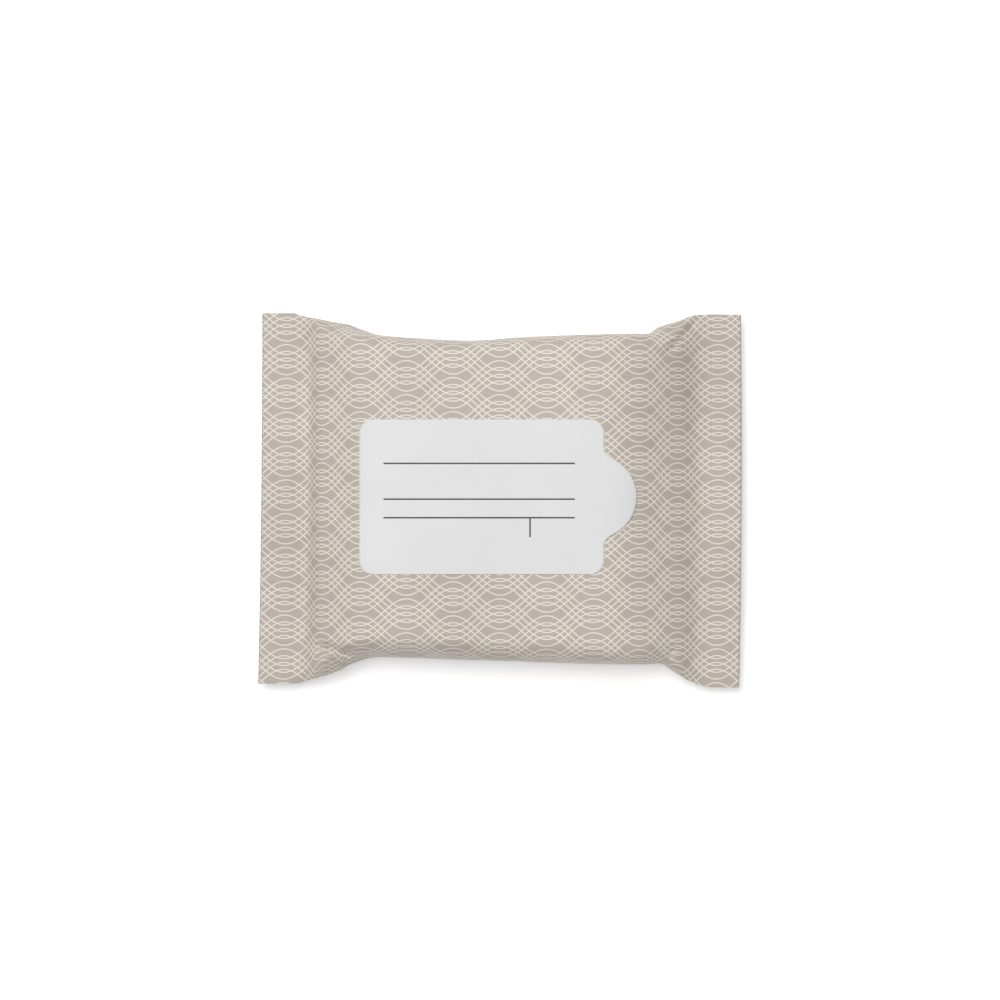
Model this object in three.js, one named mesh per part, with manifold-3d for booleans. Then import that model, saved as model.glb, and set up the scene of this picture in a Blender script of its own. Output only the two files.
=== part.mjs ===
// A soft flow-wrapped pack of moist wipes, lying on its back: one sealed film pillow with two flared
// end seals, and a resealable label with a finger tab on its top face.
// Millimetres. X runs from the left end seal to the right one, Y across the pack, Z up.
// The origin is the middle of the footprint, on the surface that the pack lies on.
import * as THREE from "three";
import { mergeVertices } from "three/addons/utils/BufferGeometryUtils.js";
import Module from "manifold-3d";

// Driving dimensions of the filled body
const TOP_HEIGHT = 24; // top face, before its crown
const TOP_CROWN = 1.4;
const CROWN_START = 0.6; // the crown grows from sections this full
const SEAM_HEIGHT = 11; // widest line
const BASE_END = 50; // the flat base reaches this far from the middle
const HEEL = { width: 10, power: 2.1 }; // rounding from the side wall into the base
const SLOPE = {
  left: { root: -71, plateau: -29, power: 3 }, // film comes down from the body to the end seal
  right: { root: 72.5, plateau: 29, power: 2.5 },
};
const ROOT_SOFTNESS = 0.05; // share of a slope that rounds its foot
const BACK_SEAM = { root: 0, free: 12, groove: 1.4, depth: 0.5 }; // strip of welded film, folded flat

// Driving dimensions of the two end seals
const HALF_LENGTH = { left: 85.05, right: 85.2 }; // cut edge, from the middle
const CUT_LEAN = { left: 0.75, right: 0.3 }; // how far a cut edge leans between its two corners
const CUT_BOW = { left: 0.4, right: 0.5 }; // and how far its middle bows to the right
const CUT_REACH = 55; // the film leans and bows with it from this far out
const SEAL_HEIGHT = 6.5;
const SEAL_DROOP = 1.2; // the cut edge hangs this much lower
const SEAL_WAVE = { height: 0.7, length: 120, phase: { left: 0.4, right: 2.1 } };
const SEAL_THICKNESS = 0.5; // both films, welded

// Outline seen from above: the two long edges, as points from the left end to the right one
const FAR_EDGE = [
  [-86, 66.2], [-72, 65.8], [-60, 62.8], [-54, 61.8], [-45, 58.4], [-31, 57.2], [-12, 56.4],
  [8, 57.5], [49, 58.5], [52.5, 59.1], [56, 60.9], [63, 63.1], [69.5, 65.3], [74, 65.7], [86, 65.7],
];
const NEAR_EDGE = [
  [-86, -64.5], [-73, -64.9], [-62, -61.6], [-54.5, -58.8], [-43, -55.5], [-32, -55.5],
  [12, -57.1], [50, -57.8], [57, -57.7], [61, -59.7], [70.8, -65], [75, -66.1], [86, -66.2],
];

// Rounding from the top face into the side wall, along X: how far in it starts and how square it is.
// Over the four ears, where the body narrows towards an end seal, it is a slanting band of film.
const SHOULDERS = {
  far: {
    width: [[-72, 5], [-55, 7], [-42, 5.5], [46, 5.5], [57, 8], [72, 5]],
    power: [[-72, 1.5], [-55, 1.4], [-42, 2.8], [46, 2.8], [57, 1.4], [72, 1.5]],
  },
  near: {
    width: [[-72, 5], [-56, 8], [-40, 6.5], [20, 6.5], [46, 7], [59, 6.5], [72, 5]],
    power: [[-72, 1.5], [-56, 1.4], [-40, 1.9], [20, 2.1], [46, 2.8], [59, 1.5], [72, 1.5]],
  },
};

// Soft folds pressed into the film: a line from one point to another, its half width and its depth
const FOLDS = [
  { from: [-66.5, 52], to: [-67.5, -50], width: 2.6, depth: 0.8 }, // foot of the left slope
  { from: [66.5, 58], to: [68.5, 14], width: 2.8, depth: 1.2 }, // foot of the right slope
  { from: [64, 6], to: [69, -58], width: 3, depth: 0.9 },
  { from: [-66, 61], to: [-46, 53], width: 2.2, depth: 1 }, // tucks beside the four ears
  { from: [69, 64], to: [57, 50], width: 2.4, depth: 1.5 },
  { from: [-66, -52], to: [-50, -55], width: 2.4, depth: 1.2 },
  { from: [69, -58], to: [56, -51], width: 2.6, depth: 1.1 },
];
const FOLD_FADE = 0.2; // share of a fold's length over which each end fades
const FOLD_START = 0.3; // folds have their full depth on sections this full

// Driving dimensions of the label
const LABEL = { left: -49.6, right: 36.7, near: -26.2, far: 28.4, corner: 4.8 };
const TAB = { x: 33.5, y: 1.1, radius: 15, neck: 5 }; // finger tab: a disc that swells out of the right edge
const LABEL_THICKNESS = 0.35;
const LABEL_GAP = 0.3; // layer of adhesive between film and label

// Mesh steps
const EDGE_STEPS = 6; // in each rounded edge
const TOP_STEPS = 18; // between them, on the top
const BASE_STEPS = { near: 5, strip: 2, far: 5 }; // and on the base, beside the strip and on it
const STATIONS = { slope: { left: -45, right: 47 }, seal: { left: -74, right: 75 } };
const STATION_STEPS = { seal: 3, slope: 16, body: 16 };
const LABEL_STEP = 3.6;
const ARC_STEPS = 10;

const clamp = THREE.MathUtils.clamp;
const lerp = THREE.MathUtils.lerp;
const smoothstep = THREE.MathUtils.smoothstep;
const sideOf = (x) => (x < 0 ? "left" : "right");

// Smooth curve through points [x, value] that doesn't overshoot them: its value at a place x.
function curveAt(points, x) {
  const last = points.length - 1;
  const slopeOf = (i) => (points[i + 1][1] - points[i][1]) / (points[i + 1][0] - points[i][0]);
  const tangentOf = (i) => {
    if (i === 0 || i === last) return 0;
    const before = slopeOf(i - 1);
    const after = slopeOf(i);
    return before * after <= 0 ? 0 : (2 * before * after) / (before + after);
  };
  const next = points.findIndex((p) => p[0] > x);
  const i = next < 0 ? last - 1 : Math.max(next - 1, 0);
  const span = points[i + 1][0] - points[i][0];
  const t = clamp((x - points[i][0]) / span, 0, 1);
  const out = t * (1 - t) * (1 - t) * tangentOf(i);
  const into = t * t * (t - 1) * tangentOf(i + 1);
  return lerp(points[i][1], points[i + 1][1], t * t * (3 - 2 * t)) + span * (out + into);
}

// How full the pack is at x: 0 on the end seals, 1 from the plateau inwards.
function fillAt(x, plateau) {
  const { root, power } = SLOPE[sideOf(x)];
  const t = (x - root) / (plateau - root);
  const softened = (t + Math.hypot(t, ROOT_SOFTNESS)) / 2;
  return 1 - Math.pow(1 - clamp(softened, 0, 1), power);
}

// Everything that one cross-section of the pack needs.
function sectionAt(x) {
  const side = sideOf(x);
  const fill = fillAt(x, SLOPE[side].plateau);
  const baseFill = Math.abs(x) < BASE_END ? 1 : fillAt(x, Math.sign(x) * BASE_END);
  const seam = lerp(SEAL_HEIGHT, SEAM_HEIGHT, fill);
  const outwards = clamp((Math.abs(x) - BASE_END) / (HALF_LENGTH[side] - BASE_END), 0, 1);
  const shoulderOf = ({ width, power }) => ({ width: curveAt(width, x), power: curveAt(power, x) });
  return {
    fill,
    far: curveAt(FAR_EDGE, x),
    near: curveAt(NEAR_EDGE, x),
    shoulders: { far: shoulderOf(SHOULDERS.far), near: shoulderOf(SHOULDERS.near) },
    heels: { far: HEEL, near: HEEL },
    seam: seam - SEAL_DROOP * outwards ** 3,
    rise: (TOP_HEIGHT - SEAM_HEIGHT) * fill, // from the widest line up to the top face
    drop: seam - SEAL_HEIGHT * (1 - baseFill), // and down to the base
  };
}

// Rounded step: 0 at an edge, 1 from a given distance inwards.
function rounded(distance, { width, power }) {
  const inwards = clamp(distance / width, 0, 1);
  return Math.pow(1 - Math.pow(1 - inwards, power), 1 / power);
}

// The same from both long edges of a section.
function roundedAcross(s, y, edges) {
  return rounded(s.far - y, edges.far) * rounded(y - s.near, edges.near);
}

// Depth of the folds at a point.
function foldDepth(x, y) {
  return FOLDS.reduce((sum, { from, to, width, depth }) => {
    const along = new THREE.Vector2(to[0] - from[0], to[1] - from[1]);
    const here = new THREE.Vector2(x - from[0], y - from[1]);
    const t = here.dot(along) / along.lengthSq();
    const across = here.cross(along) / along.length();
    const fade = smoothstep(t, -FOLD_FADE, FOLD_FADE) * smoothstep(1 - t, -FOLD_FADE, FOLD_FADE);
    return sum + depth * fade * Math.exp(-((across / width) ** 2));
  }, 0);
}

// Middle of the film at the widest line, with the slow wave of an end seal.
function seamAt(x, y, s) {
  const turn = (2 * Math.PI * y) / SEAL_WAVE.length + SEAL_WAVE.phase[sideOf(x)];
  return s.seam + SEAL_WAVE.height * Math.sin(turn) * (1 - s.fill) ** 2;
}

// Height of the film above the surface, on the pack's top.
function topAt(x, y) {
  const s = sectionAt(x);
  const across = (2 * y - s.far - s.near) / (s.far - s.near);
  const crown = TOP_CROWN * (1 - across * across) * smoothstep(s.fill, CROWN_START, 1);
  const folds = foldDepth(x, y) * smoothstep(s.fill, 0, FOLD_START);
  const body = roundedAcross(s, y, s.shoulders) * (s.rise + crown - folds);
  return seamAt(x, y, s) + SEAL_THICKNESS / 2 + Math.max(body, 0);
}

// And on its underside, with a groove along each edge of the back seam's strip.
function undersideAt(x, y) {
  const s = sectionAt(x);
  const reach = Math.max(s.drop - SEAL_THICKNESS / 2, 0);
  const film = seamAt(x, y, s) - SEAL_THICKNESS / 2 - roundedAcross(s, y, s.heels) * reach;
  const inGroove = [BACK_SEAM.root, BACK_SEAM.free].some((edge) => Math.abs(y - edge) < BACK_SEAM.groove / 4);
  return Math.max(film, 0) + (inGroove ? BACK_SEAM.depth * s.fill : 0);
}

// Evenly spaced places between two others, without these.
function between(low, high, steps) {
  return Array.from({ length: steps - 1 }, (_, i) => lerp(low, high, (i + 1) / steps));
}

// Places across a section, from the near edge to the far one, closer together in the rounded edges.
function placesAcross(s, edges, middle) {
  const inwardsOf = ({ width, power }) => Array.from({ length: EDGE_STEPS + 1 }, (_, i) => {
    const angle = (Math.PI / 2) * (i / EDGE_STEPS);
    return width * (1 - Math.pow(Math.cos(angle), 2 / power));
  });
  return [
    ...inwardsOf(edges.near).map((d) => s.near + d),
    ...middle(s.near + edges.near.width, s.far - edges.far.width),
    ...inwardsOf(edges.far).map((d) => s.far - d).reverse(),
  ];
}

// Base places between the rounded edges, with three lines for each groove.
function basePlaces(low, high) {
  const grooveAt = (edge) => [-0.5, 0, 0.5].map((share) => edge + share * BACK_SEAM.groove);
  const root = grooveAt(BACK_SEAM.root);
  const free = grooveAt(BACK_SEAM.free);
  return [
    ...between(low, root[0], BASE_STEPS.near), ...root,
    ...between(root[2], free[0], BASE_STEPS.strip), ...free,
    ...between(free[2], high, BASE_STEPS.far),
  ];
}

// Cross-sections along the pack, closest together where the film slopes and folds.
function stations() {
  const { slope, seal } = STATIONS;
  const stretches = [
    [-HALF_LENGTH.left, seal.left, STATION_STEPS.seal],
    [seal.left, slope.left, STATION_STEPS.slope],
    [slope.left, slope.right, STATION_STEPS.body],
    [slope.right, seal.right, STATION_STEPS.slope],
    [seal.right, HALF_LENGTH.right, STATION_STEPS.seal],
  ];
  const places = stretches.flatMap(([from, to, steps]) => [from, ...between(from, to, steps)]);
  return [...places, HALF_LENGTH.right];
}

// The cut edges lean and bow a little, and so does the film next to them.
function cutShift(x, y) {
  const side = sideOf(x);
  const across = clamp(y / FAR_EDGE[0][1], -1, 1);
  const shift = CUT_LEAN[side] * across + CUT_BOW[side] * (1 - across * across);
  return shift * smoothstep(Math.abs(x), CUT_REACH, HALF_LENGTH[side]);
}

// One closed ring of film around the pack: over the top, then back along the underside.
function ringAt(x) {
  const s = sectionAt(x);
  const point = (y, z) => new THREE.Vector3(x + cutShift(x, y), y, z);
  const above = placesAcross(s, s.shoulders, (low, high) => between(low, high, TOP_STEPS));
  const below = placesAcross(s, s.heels, basePlaces).reverse();
  return [
    ...above.map((y) => point(y, topAt(x, y))),
    ...below.map((y) => point(y, undersideAt(x, y))),
  ];
}

// Triangles that close a ring, as seen from the right end.
function endFace(ring) {
  const order = ring.map((_, i) => ring.length - 1 - i);
  const contour = order.map((i) => new THREE.Vector2(ring[i].y, ring[i].z));
  return THREE.ShapeUtils.triangulateShape(contour, []).map((corners) => corners.map((i) => order[i]));
}

// The film pillow as one closed surface: rings joined to the next, and a thin face at each cut edge.
function filmPackGeometry() {
  const rings = stations().map(ringAt);
  const size = rings[0].length;
  const last = (rings.length - 1) * size;
  const triangles = [];
  for (let first = 0; first < last; first += size) {
    for (let i = 0; i < size; i += 1) {
      const a = first + i;
      const b = first + ((i + 1) % size);
      triangles.push(a, a + size, b, b, a + size, b + size);
    }
  }
  endFace(rings[0]).forEach(([a, b, c]) => triangles.push(a, c, b));
  endFace(rings.at(-1)).forEach(([a, b, c]) => triangles.push(last + a, last + b, last + c));
  const geometry = new THREE.BufferGeometry().setFromPoints(rings.flat());
  geometry.setIndex(triangles);
  return geometry;
}

// Outline of the label: a rectangle with round corners whose right edge swells into the finger tab.
function labelShape() {
  const { left, right, near, far, corner } = LABEL;
  const neckX = right + TAB.neck;
  const neckY = Math.sqrt((TAB.radius + TAB.neck) ** 2 - (neckX - TAB.x) ** 2);
  const lean = Math.atan2(neckY, neckX - TAB.x);
  const shape = new THREE.Shape();
  shape.absarc(left + corner, near + corner, corner, Math.PI, 1.5 * Math.PI);
  shape.absarc(right - corner, near + corner, corner, 1.5 * Math.PI, 2 * Math.PI);
  shape.absarc(neckX, TAB.y - neckY, TAB.neck, Math.PI, Math.PI - lean, true);
  shape.absarc(TAB.x, TAB.y, TAB.radius, -lean, lean);
  shape.absarc(neckX, TAB.y + neckY, TAB.neck, Math.PI + lean, Math.PI, true);
  shape.absarc(right - corner, far - corner, corner, 0, 0.5 * Math.PI);
  shape.absarc(left + corner, far - corner, corner, 0.5 * Math.PI, Math.PI);
  shape.closePath();
  return shape;
}

// A sheet of the label's thickness that follows the film under it, larger than the label all round.
function labelSheetGeometry() {
  const low = { x: LABEL.left - LABEL_STEP, y: LABEL.near - LABEL_STEP };
  const high = { x: TAB.x + TAB.radius + LABEL_STEP, y: LABEL.far + LABEL_STEP };
  const columns = Math.ceil((high.x - low.x) / LABEL_STEP);
  const rows = Math.ceil((high.y - low.y) / LABEL_STEP);
  const sheet = new THREE.BoxGeometry(1, 1, 1, columns, rows, 1);
  const position = sheet.getAttribute("position");
  for (let i = 0; i < position.count; i += 1) {
    const x = lerp(low.x, high.x, position.getX(i) + 0.5);
    const y = lerp(low.y, high.y, position.getY(i) + 0.5);
    const lift = LABEL_GAP + LABEL_THICKNESS * (position.getZ(i) + 0.5);
    position.setXYZ(i, x, y, topAt(x, y) + lift);
  }
  return sheet;
}

const wasm = await Module();
wasm.setup();

function solidOf(geometry) {
  const bare = geometry.clone();
  bare.deleteAttribute("normal");
  bare.deleteAttribute("uv");
  const merged = mergeVertices(bare);
  const vertProperties = merged.getAttribute("position").array;
  const triVerts = new Uint32Array(merged.index.array);
  return new wasm.Manifold(new wasm.Mesh({ numProp: 3, vertProperties, triVerts }));
}

function geometryOf(solid) {
  const { vertProperties, triVerts } = solid.getMesh();
  const geometry = new THREE.BufferGeometry();
  geometry.setAttribute("position", new THREE.BufferAttribute(vertProperties, 3));
  geometry.setIndex(new THREE.BufferAttribute(triVerts, 1));
  return geometry;
}

// The label is the part of the sheet inside its outline.
function labelGeometry() {
  const punch = new THREE.ExtrudeGeometry(labelShape(), {
    depth: 2 * TOP_HEIGHT,
    bevelEnabled: false,
    curveSegments: ARC_STEPS,
  });
  return geometryOf(solidOf(labelSheetGeometry()).intersect(solidOf(punch)));
}

const printedFilm = new THREE.MeshStandardMaterial({ color: 0xccc4b9, roughness: 0.55, metalness: 0 });
const labelStock = new THREE.MeshStandardMaterial({ color: 0xe3e3e3, roughness: 0.6, metalness: 0 });

function named(name, geometry, material) {
  geometry.computeVertexNormals();
  const mesh = new THREE.Mesh(geometry, material);
  mesh.name = name;
  return mesh;
}

const pack = new THREE.Group();
pack.add(named("film_pack", filmPackGeometry(), printedFilm));
pack.add(named("reseal_label", labelGeometry(), labelStock));

export default pack;
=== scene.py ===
"""Looks of a soft film pack of moist wipes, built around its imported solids.

The shape functions work in millimetres, as the part's source does, and meshes are made in metres.
X runs from the left end seal to the right one, Y across the pack, Z up.
"""
import math

import bpy
import numpy as np
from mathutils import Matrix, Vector, noise


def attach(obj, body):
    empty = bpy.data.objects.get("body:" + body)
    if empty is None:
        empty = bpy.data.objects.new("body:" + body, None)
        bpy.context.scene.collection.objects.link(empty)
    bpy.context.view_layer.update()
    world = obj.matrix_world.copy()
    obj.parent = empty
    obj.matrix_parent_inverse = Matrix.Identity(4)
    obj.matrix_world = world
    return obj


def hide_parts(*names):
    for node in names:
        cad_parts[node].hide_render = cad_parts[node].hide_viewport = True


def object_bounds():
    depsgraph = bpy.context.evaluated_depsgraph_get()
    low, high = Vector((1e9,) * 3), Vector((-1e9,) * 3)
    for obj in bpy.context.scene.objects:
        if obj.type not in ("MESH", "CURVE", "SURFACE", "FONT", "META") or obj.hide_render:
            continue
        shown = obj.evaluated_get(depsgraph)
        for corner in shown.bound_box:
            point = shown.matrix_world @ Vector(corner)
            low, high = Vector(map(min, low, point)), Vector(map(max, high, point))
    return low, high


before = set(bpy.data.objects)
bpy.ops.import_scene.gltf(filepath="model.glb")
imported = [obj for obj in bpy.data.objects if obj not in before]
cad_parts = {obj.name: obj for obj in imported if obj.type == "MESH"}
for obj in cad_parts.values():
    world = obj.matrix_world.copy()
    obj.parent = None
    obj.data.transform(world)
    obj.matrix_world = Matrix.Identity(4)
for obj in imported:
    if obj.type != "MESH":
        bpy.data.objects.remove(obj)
CAD_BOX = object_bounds()
MM = 0.001

# Filled body, in millimetres
TOP_HEIGHT = 24
TOP_CROWN = 1.4
CROWN_START = 0.6  # the crown grows from sections this full
SEAM_HEIGHT = 11  # widest line
BASE_END = 50  # the flat base reaches this far from the middle
HEEL = {"width": 10, "power": 2.1}  # rounding from the side wall into the base
SLOPE = {
    "left": {"root": -71, "plateau": -29, "power": 3},
    "right": {"root": 70, "plateau": 33, "power": 2.4},
}
ROOT_SOFTNESS = 0.05  # share of a slope that rounds its foot

# End seals, in millimetres
HALF_LENGTH = {"left": 85.05, "right": 85.2}
# The cut edges lean and bow, and so does the film out past CUT_REACH
CUT_LEAN = {"left": 0.75, "right": 0.3}
CUT_BOW = {"left": 0.4, "right": 0.5}
CUT_REACH = 55
SEAL_HEIGHT = 6.5
SEAL_DROOP = {"left": -0.3, "right": 0.2}  # how far the cut edges hang down: the left one is raised
DROOP_POWER = 3
SEAL_DIP = {"x": -70, "width": 3.2, "depth": 0.8}  # the left seal bends down to the body
SEAL_WAVE = {"height": 0.7, "length": 120, "phase": {"left": 0.4, "right": 2.1}}
SEAL_THICKNESS = 0.4
CRIMP = {"pitch": 2.0, "height": 0.012, "from_root": 3.0}  # ribs that the welding jaws press in
CUT_ROLL = {"width": 0.6, "depth": 0.22}  # the cut edges roll down a little

# Outline from above: the two long edges, as points from the left end to the right one
FAR_EDGE = [
    (-86, 66.3), (-73.6, 66.3), (-70.5, 65.45), (-65.8, 64.5), (-60, 63.2), (-54.5, 62.3), (-48.9, 60.35),
    (-43, 58.4), (-31, 57.25), (-12, 56.4), (8, 57.6), (49, 58.9), (52.5, 59.3), (56, 61.5), (63, 63.65),
    (69.5, 65.6), (74, 65.75), (86, 65.65),
]
NEAR_EDGE = [
    (-86, -64.9), (-73, -64.9), (-66, -63.1), (-57.5, -60.5), (-55.4, -59.55), (-54, -58.5), (-43, -55.7),
    (-33, -56), (-15, -56.8), (12, -57.5), (50, -58), (56.5, -57.75), (61, -60.25), (66.6, -63.95),
    (70.8, -65.6), (75, -66.45), (86, -66.6),
]

# Rounding from the top face into the side wall, along X: how far in it starts and how square it is
SHOULDERS = {
    "far": {
        "width": [(-72, 2), (-64, 3.5), (-55.6, 5), (-46, 5.5), (46, 5.5), (57, 7), (66, 5), (72, 3)],
        "power": [(-72, 1.3), (-56, 1.15), (-50, 1.7), (-42, 2.8), (46, 2.8), (57, 1.3), (72, 1.3)],
    },
    "near": {
        "width": [(-72, 3), (-64, 4.5), (-56, 7), (-40, 7.8), (20, 7.8), (46, 7.6), (59, 6), (72, 3)],
        "power": [(-72, 1.4), (-56, 1.25), (-40, 1.9), (20, 2.1), (46, 2.8), (59, 1.4), (72, 1.3)],
    },
}

# Soft folds pressed into the film: a line from one point to another, its half width and its depth
FOLDS = [
    ((-67.3, 55), (-68, -53), 2.5, 2.3),  # foot of the left slope
    ((67, 58), (68, 14), 1.7, 0.2),  # foot of the right slope
    ((64, 6), (69, -58), 3, 0.2),
    ((-66, 61), (-50, 56), 1.6, 0.7),  # tucks beside the four ears
    ((69.5, 63.2), (59, 52), 1.4, 1.3),
    ((-64.5, -51.5), (-52.5, -54.8), 1.6, 3.2),
    ((69, -58), (58, -52), 2, 1),
    ((58.2, -58), (61.5, -53), 0.9, 1),
]
FOLD_FADE = 0.2  # share of a fold's length that it fades over, at each end
FOLD_START = 0.15  # folds have their full depth from sections this full
FOLD_DROP = 1 / 3  # share of the way from the widest line to the base that a fold may go down
FOLD_MARGIN = 4  # folds fade out this close to the long edges

# Small unevenness of the film: height, and the length of a wave along X and across
PULL = {"height": 0.55, "length": (30, 8), "seed": 3.1}  # wrinkles that run up the slopes
PULL_FILL = (0.3, 0.7)  # they have their full height in sections between these fills
SAG = {"height": 0.3, "length": (38, 30), "seed": 7.7}  # slow swells of the top
CREASE = {"height": 0.6, "length": (40, 7), "seed": 12.4}  # long creases in the side walls
STEEP = (0.35, 0.9)  # they fade in between these sideways parts of the film's normal

# Back seam: a strip of welded film, folded flat under the base
STRIP = {"root": 0.0, "free": 12.0, "thickness": 0.3, "gap": 0.06, "ramp": 0.7, "rib_pitch": 1.9}
STRIP_RIB = 0.05

# Label, in millimetres
LABEL = {"left": -49.6, "right": 36.7, "near": -26.2, "far": 28.4, "corner": 4.8}
TAB = {"x": 33.5, "y": 1.1, "radius": 14.7, "neck": 4.6}
LABEL_LIFT = 0.05  # underside of the label above the film
LABEL_THICKNESS = 0.32
LABEL_EDGE = 0.1  # rounding of its cut edge
TAB_LIFT = 0.35  # the finger tab isn't glued, and stands off a little
RULE_WIDTH = 0.55
RULES = {"heights": (12.9, 0.3, -6.25), "from": -41.1, "to": 26.4}  # thin printed lines
TICK = {"x": 10.6, "from": -13.1, "to": -6.4}

# Print: two families of mirrored waves that weave an ogee trellis, in millimetres
WAVE = {"length": 33.0, "height": 4.75}
ROW = 12.0
LINES_A_ROW, LINES_KEPT = 5, 4  # of five places in a row, four hold a line
LINE_WIDTH = 0.43
LINE_SOFTNESS = 0.06

# Colours, linear
GROUND = (0.482, 0.432, 0.380, 1)
LINE = (0.790, 0.739, 0.657, 1)
LABEL_WHITE = (0.742, 0.742, 0.742, 1)
INK = (0.030, 0.030, 0.030, 1)
FLOOR_WHITE = (0.90, 0.90, 0.90, 1)
# The film is a little darker on the end seals, and a painted shade darkens it along its cut ends
SEAL_SHADE = {"seal": 0.965, "from_cut": (13, 16), "cut": 0.62, "cut_width": 0.7}

# Surface detail: noise scale, and the limits of what it varies or the depth of its bump in metres
NOISE_SPREAD = (0.3, 0.7)  # most of a noise's values lie between these
FILM_TONE = {"scale": 22.0, "limits": (0.96, 1.03)}
FILM_ROUGHNESS = {"scale": 60.0, "limits": (0.45, 0.55)}
FILM_CRINKLE = {"scale": 240.0, "detail": 3.0, "depth": 0.00018}
FILM_SWELL = {"scale": 70.0, "detail": 2.0, "depth": 0.0004}
FILM_SPECULAR = 0.32
LABEL_TONE = {"scale": 45.0, "limits": (0.985, 1.01)}
LABEL_ROUGHNESS = {"scale": 90.0, "limits": (0.46, 0.54)}
LABEL_GRAIN = {"scale": 1400.0, "detail": 2.0, "depth": 0.00001}
LABEL_SPECULAR = 0.4

# Stage: floor in metres, lamp's place in metres and its power in watts
FLOOR_SIZE = 8.0
FLOOR_GLOW = {"near": 0.33, "far": 0.62, "from": 0.35, "to": 2.2}  # it grows as the lamp's light fades
AMBIENT = 0.41
WORLD_WHITE = (1, 1, 1, 1)
KEY = {"place": (-0.62, 0.9, 2.8), "size": 2.2, "watts": 60.6}

# Mesh steps, in millimetres where they aren't counts
ROLL_STEP, SEAL_STEP, SLOPE_STEP, BODY_STEP = 0.1, 0.33, 0.7, 1.2
SLOPE_ENDS = {"left": (-74, -45), "right": (47, 75)}
EDGE_STEPS, TOP_STEPS, BASE_STEPS = 14, 104, 30
STRIP_STEPS, OVER_STRIP_STEPS, RAMP_POINTS = 37, 10, 5
LABEL_ROWS, LABEL_COLUMNS, CORNER_STEPS = 88, 120, 12
SHARP_ANGLE = 50  # degrees between faces
BAKE_MARGIN = 0.01  # share of a bake's square that stays empty along each side
TINY = 1e-9  # least length that is divided by

# Camera: it looks straight down, and the picture's width is this many metres at the pack's half height
PICTURE_WIDTH = 0.354
LENS = 300
SENSOR = 36


def smoothstep(value, low, high):
    t = np.clip((value - low) / (high - low), 0, 1)
    return t * t * (3 - 2 * t)


def lerp(a, b, t):
    return a + (b - a) * t


def curve_at(points, x):
    """Smooth curve through points (x, value) that doesn't overshoot them."""
    px, py = np.array(points, float).T
    slopes = np.diff(py) / np.diff(px)
    before, after = slopes[:-1], slopes[1:]
    total = np.where(before * after > 0, before + after, 1)
    tangents = np.zeros_like(py)
    tangents[1:-1] = np.where(before * after > 0, 2 * before * after / total, 0)
    i = np.clip(np.searchsorted(px, x, side="right") - 1, 0, len(px) - 2)
    span = px[i + 1] - px[i]
    t = np.clip((x - px[i]) / span, 0, 1)
    bend = t * (1 - t) ** 2 * tangents[i] + t * t * (t - 1) * tangents[i + 1]
    return lerp(py[i], py[i + 1], t * t * (3 - 2 * t)) + span * bend


def by_side(x, of_left, of_right):
    return np.where(x < 0, of_left, of_right)


def fill_at(x, plateau):
    """How full the pack is at x: 0 on the end seals, 1 from the plateau inwards."""
    root = by_side(x, SLOPE["left"]["root"], SLOPE["right"]["root"])
    power = by_side(x, SLOPE["left"]["power"], SLOPE["right"]["power"])
    t = (x - root) / (plateau - root)
    softened = (t + np.hypot(t, ROOT_SOFTNESS)) / 2
    return 1 - (1 - np.clip(softened, 0, 1)) ** power


class Section:
    """Everything that the cross-sections at places x need."""

    def __init__(self, x):
        self.x = x
        plateau = by_side(x, SLOPE["left"]["plateau"], SLOPE["right"]["plateau"])
        half = by_side(x, HALF_LENGTH["left"], HALF_LENGTH["right"])
        self.fill = fill_at(x, plateau)
        on_base = np.abs(x) < BASE_END
        base_fill = np.where(on_base, 1, fill_at(x, np.sign(x) * BASE_END + on_base))
        outwards = np.clip((np.abs(x) - BASE_END) / (half - BASE_END), 0, 1)
        seam = lerp(SEAL_HEIGHT, SEAM_HEIGHT, self.fill)
        self.far = curve_at(FAR_EDGE, x)
        self.near = curve_at(NEAR_EDGE, x)
        self.shoulders = {
            side: {what: curve_at(points, x) for what, points in SHOULDERS[side].items()}
            for side in SHOULDERS
        }
        self.heels = {"far": HEEL, "near": HEEL}
        droop = by_side(x, SEAL_DROOP["left"], SEAL_DROOP["right"])
        self.seam = seam - droop * outwards**DROOP_POWER
        self.rise = (TOP_HEIGHT - SEAM_HEIGHT) * self.fill
        self.drop = seam - SEAL_HEIGHT * (1 - base_fill)


def rounded(distance, width, power):
    """Rounded step: 0 at an edge, 1 from a given distance inwards."""
    inwards = np.clip(distance / width, 0, 1)
    return (1 - (1 - inwards) ** power) ** (1 / power)


def rounded_across(s, y, edges):
    return rounded(s.far - y, **edges["far"]) * rounded(y - s.near, **edges["near"])


def fold_depth(x, y):
    total = np.zeros(np.broadcast(x, y).shape)
    for start, end, width, depth in FOLDS:
        along = np.subtract(end, start)
        length = np.hypot(*along)
        t = ((x - start[0]) * along[0] + (y - start[1]) * along[1]) / length**2
        across = ((x - start[0]) * along[1] - (y - start[1]) * along[0]) / length
        fade = smoothstep(t, -FOLD_FADE, FOLD_FADE) * smoothstep(1 - t, -FOLD_FADE, FOLD_FADE)
        total += depth * fade * np.exp(-((across / width) ** 2))
    return total


def uneven(x, y, height, length, seed):
    """Smooth random swells of about that height."""
    flat = np.broadcast_arrays(x / length[0], y / length[1])
    spots = zip(flat[0].ravel(), flat[1].ravel())
    found = [noise.noise((a, b, seed)) for a, b in spots]
    return height * np.array(found).reshape(flat[0].shape)


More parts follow.
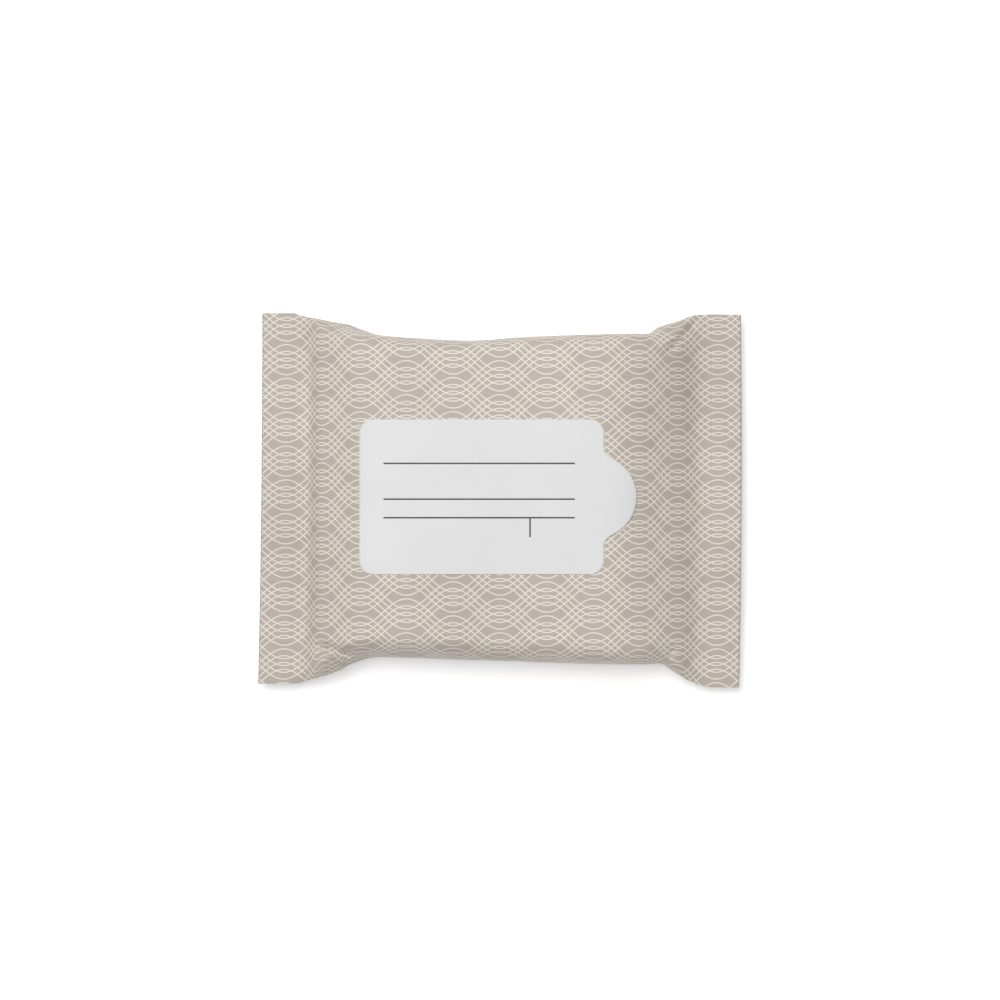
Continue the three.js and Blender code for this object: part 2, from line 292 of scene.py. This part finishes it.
def seam_at(s, y):
    phase = by_side(s.x, SEAL_WAVE["phase"]["left"], SEAL_WAVE["phase"]["right"])
    turn = 2 * math.pi * y / SEAL_WAVE["length"] + phase
    dip = SEAL_DIP["depth"] * np.exp(-(((s.x - SEAL_DIP["x"]) / SEAL_DIP["width"]) ** 2))
    return s.seam - dip + SEAL_WAVE["height"] * np.sin(turn) * (1 - s.fill) ** 2


def crimp_at(s):
    """Height of the ribs across each end seal."""
    root = by_side(s.x, SLOPE["left"]["root"], SLOPE["right"]["root"])
    past = np.abs(s.x) - np.abs(root)
    ribs = np.cos(2 * math.pi * past / CRIMP["pitch"])
    return CRIMP["height"] * ribs * smoothstep(past, 0, CRIMP["from_root"])


def cut_roll(x):
    half = by_side(x, HALF_LENGTH["left"], HALF_LENGTH["right"])
    t = np.clip(1 - (half - np.abs(x)) / CUT_ROLL["width"], 0, 1)
    return CUT_ROLL["depth"] * t * t


def top_at(s, y):
    """Height of the film on the pack's top."""
    across = (2 * y - s.far - s.near) / (s.far - s.near)
    crown = TOP_CROWN * (1 - across**2) * smoothstep(s.fill, CROWN_START, 1)
    inside = smoothstep(np.minimum(s.far - y, y - s.near), 0, FOLD_MARGIN)
    folds = fold_depth(s.x, y) * smoothstep(s.fill, 0, FOLD_START) * inside
    on_slope = smoothstep(s.fill, 0, PULL_FILL[0]) * (1 - smoothstep(s.fill, PULL_FILL[1], 1))
    swell = uneven(s.x, y, **PULL) * on_slope + uneven(s.x, y, **SAG) * s.fill
    body = rounded_across(s, y, s.shoulders) * (s.rise + crown + swell) - folds
    lowest = -s.drop * FOLD_DROP
    return seam_at(s, y) + SEAL_THICKNESS / 2 + crimp_at(s) - cut_roll(s.x) + np.maximum(body, lowest)


def strip_mask(y):
    """1 over the back seam's strip, 0 beside it."""
    ramp, root, free = STRIP["ramp"], STRIP["root"], STRIP["free"]
    return smoothstep(y, root - ramp, root) * (1 - smoothstep(y, free, free + ramp))


def underside_at(s, y):
    """Height of the film on the underside, which the folded strip presses in a little."""
    reach = np.maximum(s.drop - SEAL_THICKNESS / 2, 0)
    film = seam_at(s, y) - SEAL_THICKNESS / 2 - rounded_across(s, y, s.heels) * reach
    recess = (STRIP["thickness"] + 2 * STRIP["gap"]) * strip_mask(y) * s.fill
    return np.maximum(film, 0) + crimp_at(s) + recess


def cut_shift(x, y):
    """The cut edges lean and bow a little, and so does the film next to them."""
    half = by_side(x, HALF_LENGTH["left"], HALF_LENGTH["right"])
    across = np.clip(y / FAR_EDGE[0][1], -1, 1)
    lean = by_side(x, CUT_LEAN["left"], CUT_LEAN["right"]) * across
    bow = by_side(x, CUT_BOW["left"], CUT_BOW["right"]) * (1 - across**2)
    return (lean + bow) * smoothstep(np.abs(x), CUT_REACH, half)


def stations():
    """Places of the cross-sections, closest together on the end seals and slopes."""
    left, right = SLOPE_ENDS["left"], SLOPE_ENDS["right"]
    roll = CUT_ROLL["width"]
    stretches = [
        (-HALF_LENGTH["left"], roll - HALF_LENGTH["left"], ROLL_STEP),
        (roll - HALF_LENGTH["left"], left[0], SEAL_STEP),
        (left[0], left[1], SLOPE_STEP),
        (left[1], right[0], BODY_STEP),
        (right[0], right[1], SLOPE_STEP),
        (right[1], HALF_LENGTH["right"] - roll, SEAL_STEP),
        (HALF_LENGTH["right"] - roll, HALF_LENGTH["right"], ROLL_STEP),
    ]
    runs = [np.linspace(a, b, round((b - a) / step), endpoint=False) for a, b, step in stretches]
    return np.concatenate([*runs, [HALF_LENGTH["right"]]])


def edge_places(width, power):
    """Distances from an edge, closest together where the film turns down."""
    angle = np.linspace(0, math.pi / 2, EDGE_STEPS + 1)
    return width * (1 - np.cos(angle) ** (2 / power))


def stretch(low, high, steps):
    """Places between two others, without these, one row for each station."""
    share = np.linspace(0, 1, steps + 1)[1:-1]
    return lerp(low, high, share)


def top_places(s):
    near, far = s.shoulders["near"], s.shoulders["far"]
    return np.hstack([
        s.near + edge_places(**near),
        stretch(s.near + near["width"], s.far - far["width"], TOP_STEPS),
        (s.far - edge_places(**far))[:, ::-1],
    ])


def base_places(s):
    """Places along the underside from the far edge to the near one, closest at the strip's edges."""
    ramp, root, free = STRIP["ramp"], STRIP["root"], STRIP["free"]
    column = np.ones_like(s.x)
    edges = edge_places(**HEEL)
    at_root = column * np.linspace(root - ramp, root, RAMP_POINTS)
    at_free = column * np.linspace(free, free + ramp, RAMP_POINTS)
    low, high = s.near + HEEL["width"], s.far - HEEL["width"]
    upwards = np.hstack([
        s.near + edges,
        stretch(low, at_root[:, :1], BASE_STEPS),
        at_root,
        stretch(at_root[:, -1:], at_free[:, :1], OVER_STRIP_STEPS),
        at_free,
        stretch(at_free[:, -1:], high, BASE_STEPS),
        (s.far - edges)[:, ::-1],
    ])
    return upwards[:, ::-1]


def side_creases(points, normals):
    """Moves the film of the side walls in and out along its normals."""
    x, y, z = np.moveaxis(points, -1, 0)
    steep = smoothstep(np.abs(normals[..., 1]), *STEEP)
    side = np.where(y < 0, CREASE["seed"], 2 * CREASE["seed"])
    depth = np.zeros_like(x)
    for seed in np.unique(side):
        on_side = side == seed
        depth[on_side] = uneven(x[on_side], z[on_side], CREASE["height"], CREASE["length"], seed)
    return points + normals * (depth * steep)[..., None]


def ring_normals(points):
    """Outward directions of a surface made of rings."""
    along = np.gradient(points, axis=0)
    around = (np.roll(points, -1, axis=1) - np.roll(points, 1, axis=1)) / 2
    normal = np.cross(along, around)
    return normal / np.maximum(np.linalg.norm(normal, axis=-1, keepdims=True), TINY)


def film_points():
    """The pack's film as rings of points, in millimetres, and how many of each ring lie on the top."""
    s = Section(stations()[:, None])
    above, below = top_places(s), base_places(s)
    y = np.hstack([above, below])
    z = np.hstack([top_at(s, above), underside_at(s, below)])
    x = s.x + cut_shift(s.x, y)
    points = np.stack([x, y, z], axis=-1)
    creased = side_creases(points, ring_normals(points))
    creased[..., 2] = np.maximum(creased[..., 2], 0)
    return creased, above.shape[1]


def new_object(name, points, faces, material):
    mesh = bpy.data.meshes.new(name)
    mesh.from_pydata(points * MM, [], faces)
    mesh.materials.append(material)
    mesh.shade_smooth()
    piece = bpy.data.objects.new(name, mesh)
    bpy.context.scene.collection.objects.link(piece)
    return piece


def set_map(mesh, name, places):
    """Writes a UV map from one place for each face corner."""
    layer = mesh.uv_layers.new(name=name, do_init=False)
    layer.uv.foreach_set("vector", np.asarray(places, np.float32).ravel())


def unit_map(mesh, places):
    """The map that a bake uses: the same places, fitted into the unit square."""
    low, high = places.min(axis=0), places.max(axis=0)
    share = (places - low) / (high - low)
    set_map(mesh, "OFBake", lerp(BAKE_MARGIN, 1 - BAKE_MARGIN, share))


def film_flat(points, on_top):
    """Place of each ring point on the flat film, from the middle of its face, and each ring's length."""
    rows = np.arange(len(points))
    closed = np.concatenate([points, points[:, :1]], axis=1)[..., 1:]
    steps = np.linalg.norm(np.diff(closed, axis=1), axis=-1)
    around = np.hstack([np.zeros((len(points), 1)), np.cumsum(steps, axis=1)])
    middle = np.argmin(np.abs(points[:, :on_top, 1]), axis=1)
    centre = points[rows, middle]
    perimeter = around[:, -1]
    around = around[:, :-1] - (around[rows, middle] - centre[:, 1])[:, None]
    lengths = np.linalg.norm(np.diff(centre[:, ::2], axis=0), axis=-1)
    along = np.concatenate([[0], np.cumsum(lengths)])
    along -= np.interp(0, centre[:, 0], along)
    return np.repeat(along[:, None], points.shape[1], axis=1), around, perimeter


def ring_corners(count, size):
    """Station and place in its ring of each corner of the faces that join the rings."""
    r, i = np.meshgrid(np.arange(count - 1), np.arange(size), indexing="ij")
    after = (i + 1) % size
    rows = np.stack([r, r + 1, r + 1, r], axis=-1)
    columns = np.stack([i, i, after, after], axis=-1)
    return rows.reshape(-1, 4), columns.reshape(-1, 4)


def end_faces(y, on_top, first, flip):
    """Triangles that close an end seal's cut edge, between the top and the underside of its ring."""
    top = list(range(on_top))
    under = list(range(len(y) - 1, on_top - 1, -1))
    faces = []
    while len(top) > 1 or len(under) > 1:
        step_top = len(under) == 1 or (len(top) > 1 and y[top[1]] <= y[under[1]])
        corners = [top[0], under[0], top[1] if step_top else under[1]]
        faces.append([first + c for c in (corners[::-1] if flip else corners)])
        (top if step_top else under).pop(0)
    return faces


def film_map(points, on_top, rows, columns, ends):
    """Flat place of each face corner. Past the back seam's root, the film comes round the near edge."""
    size = points.shape[1]
    along, around, perimeter = film_flat(points, on_top)
    root = on_top + np.argmin(np.abs(points[0, on_top:, 1] - STRIP["root"]))
    past = (columns[:, :1] >= root) & (columns > 0)
    v = around[rows, columns] - np.where(past, perimeter[rows], 0)
    sides = np.stack([along[rows, columns], v], axis=-1).reshape(-1, 2)
    corner = np.array(ends).ravel()
    cuts = np.stack([along.ravel()[corner], points[corner // size, corner % size, 1]], axis=-1)
    return np.vstack([sides, cuts])


def make_film(points, on_top, material):
    count, size = points.shape[:2]
    rows, columns = ring_corners(count, size)
    last = (count - 1) * size
    ends = [
        *end_faces(points[0, :, 1], on_top, 0, True),
        *end_faces(points[-1, :, 1], on_top, last, False),
    ]
    faces = (rows * size + columns).tolist() + ends
    piece = new_object("film_wrapper", points.reshape(-1, 3), faces, material)
    places = film_map(points, on_top, rows, columns, ends)
    set_map(piece.data, "film", places * MM)
    unit_map(piece.data, places)
    piece.data.set_sharp_from_angle(angle=math.radians(SHARP_ANGLE))
    return piece


def grid_faces(rows, columns, first=0, flip=False):
    r, c = np.meshgrid(np.arange(rows - 1), np.arange(columns - 1), indexing="ij")
    a = first + r * columns + c
    quads = np.stack([a, a + 1, a + columns + 1, a + columns], axis=-1).reshape(-1, 4)
    return (quads[:, ::-1] if flip else quads).tolist()


def grid_rim(rows, columns):
    """Places of a grid's outer vertices, anticlockwise."""
    at = np.arange(rows * columns).reshape(rows, columns)
    return np.concatenate([at[0, :-1], at[:-1, -1], at[-1, :0:-1], at[:0:-1, 0]])


def wall_faces(upper, lower):
    """A band of faces between two loops, facing outwards."""
    pairs = zip(upper, np.roll(upper, -1), lower, np.roll(lower, -1))
    return [[int(a), int(c), int(d), int(b)] for a, b, c, d in pairs]


def make_strip(material):
    """The back seam's welded strip, folded flat under the base."""
    s = Section(stations()[:, None])
    y = np.linspace(STRIP["root"], STRIP["free"], STRIP_STEPS)[None, :] * np.ones_like(s.x)
    x = s.x + cut_shift(s.x, y)
    upper = underside_at(s, y) - STRIP["gap"]
    ribs = STRIP_RIB * np.cos(2 * math.pi * y / STRIP["rib_pitch"])
    lower = np.maximum(upper - STRIP["thickness"] + ribs, 0)
    grids = [np.stack([x, y, z], axis=-1).reshape(-1, 3) for z in (upper, lower)]
    rows, columns = y.shape
    count = rows * columns
    rim = grid_rim(rows, columns)
    faces = [
        *grid_faces(rows, columns, flip=True),
        *grid_faces(rows, columns, first=count),
        *wall_faces(count + rim, rim),
    ]
    points = np.vstack(grids)
    piece = new_object("back_seam", points, faces, material)
    corners = points[np.concatenate(faces)][:, :2]
    set_map(piece.data, "film", corners * MM)
    unit_map(piece.data, corners)
    piece.data.set_sharp_from_angle(angle=math.radians(SHARP_ANGLE))
    return piece


def label_heights(inset):
    """Rows of the label, closest together in its round corners."""
    corner = LABEL["corner"] - inset
    low, high = LABEL["near"] + inset, LABEL["far"] - inset
    turn = corner * (1 - np.cos(np.linspace(0, math.pi / 2, CORNER_STEPS + 1)))
    middle = np.linspace(low + corner, high - corner, LABEL_ROWS)[1:-1]
    return np.concatenate([low + turn, middle, (high - turn)[::-1]])


def label_ends(y, inset):
    """Left and right end of the label's rows: round corners, and a tab that swells out between two necks."""
    corner, neck, radius = LABEL["corner"] - inset, TAB["neck"] + inset, TAB["radius"] - inset
    left, right = LABEL["left"] + inset, LABEL["right"] - inset
    low, high = LABEL["near"] + inset, LABEL["far"] - inset
    into = np.maximum(np.maximum(low + corner - y, y - high + corner), 0)
    trim = corner - np.sqrt(np.maximum(corner**2 - into**2, 0))
    neck_x = right + neck
    neck_y = math.sqrt((radius + neck) ** 2 - (neck_x - TAB["x"]) ** 2)
    meets = radius * neck_y / (radius + neck)
    off = np.abs(y - TAB["y"])
    on_neck = neck_x - np.sqrt(np.maximum(neck**2 - (neck_y - off) ** 2, 0))
    on_tab = TAB["x"] + np.sqrt(np.maximum(radius**2 - off**2, 0))
    beyond = np.where(off < meets, on_tab, np.where(off < neck_y, on_neck, right))
    return left + trim, beyond - trim


def label_grid(inset, lift):
    y = label_heights(inset)[:, None]
    left, right = label_ends(y, inset)
    x = lerp(left, right, np.linspace(0, 1, LABEL_COLUMNS))
    y = y * np.ones_like(x)
    tab = smoothstep(x, LABEL["right"], TAB["x"] + TAB["radius"])
    z = top_at(Section(x), y) + lift + TAB_LIFT * tab
    return np.stack([x, y, z], axis=-1)


def make_label(material):
    lower = label_grid(0, LABEL_LIFT)
    upper = label_grid(LABEL_EDGE, LABEL_LIFT + LABEL_THICKNESS)
    edge = label_grid(0, LABEL_LIFT + LABEL_THICKNESS - LABEL_EDGE)
    rows, columns = upper.shape[:2]
    count = rows * columns
    rim = grid_rim(rows, columns)
    ring = 2 * count + np.arange(len(rim))
    points = np.vstack([upper.reshape(-1, 3), lower.reshape(-1, 3), edge.reshape(-1, 3)[rim]])
    faces = [
        *grid_faces(rows, columns),
        *grid_faces(rows, columns, first=count, flip=True),
        *wall_faces(rim, ring),
        *wall_faces(ring, count + rim),
    ]
    piece = new_object("label", points, faces, material)
    corners = points[np.concatenate(faces)][:, :2]
    set_map(piece.data, "label", corners * MM)
    unit_map(piece.data, corners)
    piece.data.set_sharp_from_angle(angle=math.radians(SHARP_ANGLE))
    return piece


class Shader:
    """The nodes of a material or of the world, with short ways to add and link them."""

    def __init__(self, owner):
        self.owner = owner
        owner.use_nodes = True
        self.tree = owner.node_tree
        self.tree.nodes.clear()

    def feed(self, socket, value):
        if isinstance(value, bpy.types.NodeSocket):
            self.tree.links.new(value, socket)
        else:
            socket.default_value = value

    def add(self, kind, inputs=None, **settings):
        made = self.tree.nodes.new(kind)
        for name, value in settings.items():
            setattr(made, name, value)
        for name, value in (inputs or {}).items():
            self.feed(made.inputs[name], value)
        return made

    def math(self, operation, *values):
        made = self.add("ShaderNodeMath", operation=operation)
        for socket, value in zip(made.inputs, values):
            self.feed(socket, value)
        return made.outputs[0]

    def ramp(self, value, low, high, to_low, to_high):
        made = self.add("ShaderNodeMapRange", interpolation_type="SMOOTHSTEP")
        for socket, number in zip(made.inputs, (value, low, high, to_low, to_high)):
            self.feed(socket, number)
        return made.outputs["Result"]

    def mix(self, factor, a, b, blend="MIX"):
        made = self.add("ShaderNodeMix", data_type="RGBA", blend_type=blend)
        by_id = {socket.identifier: socket for socket in made.inputs}
        for name, value in (("Factor_Float", factor), ("A_Color", a), ("B_Color", b)):
            self.feed(by_id[name], value)
        return next(o for o in made.outputs if o.identifier == "Result_Color")

    def map_axes(self, name):
        places = self.add("ShaderNodeUVMap", uv_map=name).outputs["UV"]
        split = self.add("ShaderNodeSeparateXYZ", {"Vector": places})
        return split.outputs["X"], split.outputs["Y"]

    def noise(self, scale, detail=2.0):
        place = self.add("ShaderNodeTexCoord").outputs["Object"]
        made = self.add("ShaderNodeTexNoise", {"Vector": place, "Scale": scale, "Detail": detail})
        return made.outputs["Fac"]

    def grey(self, value):
        channels = dict.fromkeys(("Red", "Green", "Blue"), value)
        return self.add("ShaderNodeCombineColor", channels).outputs["Color"]

    def varied(self, scale, limits):
        """A value that noise varies between two limits."""
        return self.ramp(self.noise(scale), *NOISE_SPREAD, *limits)

    def bump(self, scale, detail, depth, below=None):
        """A normal that noise roughens, on top of another one."""
        inputs = {"Height": self.noise(scale, detail), "Distance": depth}
        if below is not None:
            inputs["Normal"] = below
        return self.add("ShaderNodeBump", inputs).outputs["Normal"]

    def surface(self, **inputs):
        named = {name.replace("_", " "): value for name, value in inputs.items()}
        shader = self.add("ShaderNodeBsdfPrincipled", named)
        self.add("ShaderNodeOutputMaterial", {"Surface": shader.outputs["BSDF"]})
        return self.owner


def wave_lines(g, u, v, height, shift):
    """Mask of one family of printed waves: bundles of parallel lines with a gap between bundles."""
    turn = g.math("MULTIPLY", u, 2 * math.pi / (WAVE["length"] * MM))
    swing = g.math("MULTIPLY_ADD", g.math("COSINE", turn), -height * MM, shift * MM)
    row = g.math("DIVIDE", g.math("ADD", v, swing), ROW * MM)
    place = g.math("MULTIPLY", g.math("FRACT", row), LINES_A_ROW)
    off = g.math("ABSOLUTE", g.math("SUBTRACT", g.math("FRACT", place), 0.5))
    steepness = 2 * math.pi * height / WAVE["length"]
    slope = g.math("MULTIPLY", g.math("SINE", turn), steepness)
    lean = g.math("SQRT", g.math("MULTIPLY_ADD", slope, slope, 1.0))
    distance = g.math("DIVIDE", g.math("MULTIPLY", off, ROW * MM / LINES_A_ROW), lean)
    half = LINE_WIDTH * MM / 2
    line = g.ramp(distance, half - LINE_SOFTNESS * MM, half + LINE_SOFTNESS * MM, 1.0, 0.0)
    return g.math("MULTIPLY", line, g.math("LESS_THAN", place, LINES_KEPT))


def film_reach(points, on_top):
    """Where the two cut ends lie along the flat film."""
    along = film_flat(points, on_top)[0]
    return along[0, 0], along[-1, 0]


def seal_tone_and_painted_cut_shade(g, u, reach):
    """1 over the filled body, a little less on the end seals, and less still along their cuts, where it is
    painted shade.
    """
    from_left = g.math("SUBTRACT", u, reach[0] * MM)
    from_right = g.math("SUBTRACT", reach[1] * MM, u)
    inwards = g.math("MINIMUM", from_left, from_right)
    low, high = [width * MM for width in SEAL_SHADE["from_cut"]]
    seal = g.ramp(inwards, low, high, SEAL_SHADE["seal"], 1.0)
    # painted shade along the film's cut ends
    cut = g.ramp(inwards, 0.0, SEAL_SHADE["cut_width"] * MM, SEAL_SHADE["cut"], 1.0)
    return g.math("MULTIPLY", seal, cut)


def film_material(reach):
    """Satin printed film: cream lines on warm grey, with the film's faint crinkle."""
    g = Shader(bpy.data.materials.new("printed_film"))
    u, v = g.map_axes("film")
    lines = g.math(
        "MAXIMUM",
        wave_lines(g, u, v, WAVE["height"], 0),
        wave_lines(g, u, v, -WAVE["height"], ROW / 2),
    )
    printed = g.mix(lines, GROUND, LINE)
    # random tone, times the darker end seals and the painted shade along the cuts
    tone = g.math("MULTIPLY", g.varied(**FILM_TONE), seal_tone_and_painted_cut_shade(g, u, reach))
    colour = g.mix(1.0, printed, g.grey(tone), blend="MULTIPLY")
    return g.surface(
        Base_Color=colour,
        Roughness=g.varied(**FILM_ROUGHNESS),
        Normal=g.bump(**FILM_SWELL, below=g.bump(**FILM_CRINKLE)),
        Specular_IOR_Level=FILM_SPECULAR,
    )


def band(g, value, low, high):
    """1 between two places, 0 outside."""
    soft = LINE_SOFTNESS * MM
    above = g.ramp(value, low * MM - soft, low * MM + soft, 0.0, 1.0)
    below = g.ramp(value, high * MM - soft, high * MM + soft, 1.0, 0.0)
    return g.math("MULTIPLY", above, below)


def rule_mask(g, x, y):
    """The label's thin printed lines."""
    half = RULE_WIDTH / 2
    along = band(g, x, RULES["from"], RULES["to"])
    rows = [band(g, y, height - half, height + half) for height in RULES["heights"]]
    across = g.math("MAXIMUM", rows[0], g.math("MAXIMUM", rows[1], rows[2]))
    tick_x = band(g, x, TICK["x"] - half, TICK["x"] + half)
    tick = g.math("MULTIPLY", tick_x, band(g, y, TICK["from"], TICK["to"]))
    return g.math("MAXIMUM", g.math("MULTIPLY", along, across), tick)


def label_material():
    """Satin white label stock with thin printed rules and a very fine grain."""
    g = Shader(bpy.data.materials.new("label_stock"))
    x, y = g.map_axes("label")
    stock = g.mix(1.0, LABEL_WHITE, g.grey(g.varied(**LABEL_TONE)), blend="MULTIPLY")
    colour = g.mix(rule_mask(g, x, y), stock, INK)
    return g.surface(
        Base_Color=colour,
        Roughness=g.varied(**LABEL_ROUGHNESS),
        Normal=g.bump(**LABEL_GRAIN),
        Specular_IOR_Level=LABEL_SPECULAR,
    )


def seen(g):
    """1 for rays that show the background: the camera's own, and those reflected or let through."""
    path = g.add("ShaderNodeLightPath").outputs
    past_object = g.math("MAXIMUM", path["Is Glossy Ray"], path["Is Transmission Ray"])
    return g.math("MAXIMUM", path["Is Camera Ray"], past_object)


def floor_material():
    """White floor that keeps the pack's shadow, with a little added so that it shows as white."""
    g = Shader(bpy.data.materials.new("floor"))
    diffuse = g.add("ShaderNodeBsdfDiffuse", {"Color": FLOOR_WHITE})
    place = g.add("ShaderNodeTexCoord").outputs["Object"]
    away = g.add("ShaderNodeVectorMath", {"Vector": place}, operation="LENGTH").outputs["Value"]
    limits = [FLOOR_GLOW[name] for name in ("from", "to", "near", "far")]
    glow = g.math("MULTIPLY", seen(g), g.ramp(away, *limits))
    added = g.add("ShaderNodeEmission", {"Strength": glow})
    both = g.add("ShaderNodeAddShader")
    g.feed(both.inputs[0], diffuse.outputs["BSDF"])
    g.feed(both.inputs[1], added.outputs["Emission"])
    g.add("ShaderNodeOutputMaterial", {"Surface": both.outputs["Shader"]})
    return g.owner


def make_floor():
    signs = [(-1, -1), (1, -1), (1, 1), (-1, 1)]
    points = np.array([(x, y, 0) for x, y in signs]) * FLOOR_SIZE / 2
    floor = new_object("floor", points / MM, [[0, 1, 2, 3]], floor_material())


def make_world():
    """Even light from all round, which shows as white behind the pack."""
    g = Shader(bpy.data.worlds.new("studio"))
    strength = g.math("MULTIPLY_ADD", seen(g), 1 - AMBIENT, AMBIENT)
    back = g.add("ShaderNodeBackground", {"Color": WORLD_WHITE, "Strength": strength})
    g.add("ShaderNodeOutputWorld", {"Surface": back.outputs["Background"]})
    bpy.context.scene.world = g.owner


def make_lamp(name, place, size, watts):
    light = bpy.data.lights.new(name, "AREA")
    light.shape = "DISK"
    light.size = size
    light.energy = watts
    lamp = bpy.data.objects.new(name, light)
    lamp.location = place
    lamp.rotation_euler = (-Vector(place)).to_track_quat("-Z", "Y").to_euler()
    lamp.visible_camera = False
    bpy.context.scene.collection.objects.link(lamp)


def make_camera():
    data = bpy.data.cameras.new("camera")
    data.lens = LENS
    data.sensor_width = SENSOR
    camera = bpy.data.objects.new("camera", data)
    camera.location = (0, 0, CAD_BOX[1].z / 2 + PICTURE_WIDTH * LENS / SENSOR)
    bpy.context.scene.collection.objects.link(camera)
    bpy.context.scene.camera = camera


def place(piece, slot, *nodes):
    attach(piece, "root")
    if nodes:
        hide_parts(*nodes)


make_camera()
make_world()
make_floor()
make_lamp("key", **KEY)
film = film_points()
printed_film = film_material(film_reach(*film))
place(make_film(*film, printed_film), "printed_film", "film_pack")
place(make_strip(printed_film), "printed_film")
place(make_label(label_material()), "label", "reseal_label")
bpy.context.scene.view_settings.view_transform = "Standard"
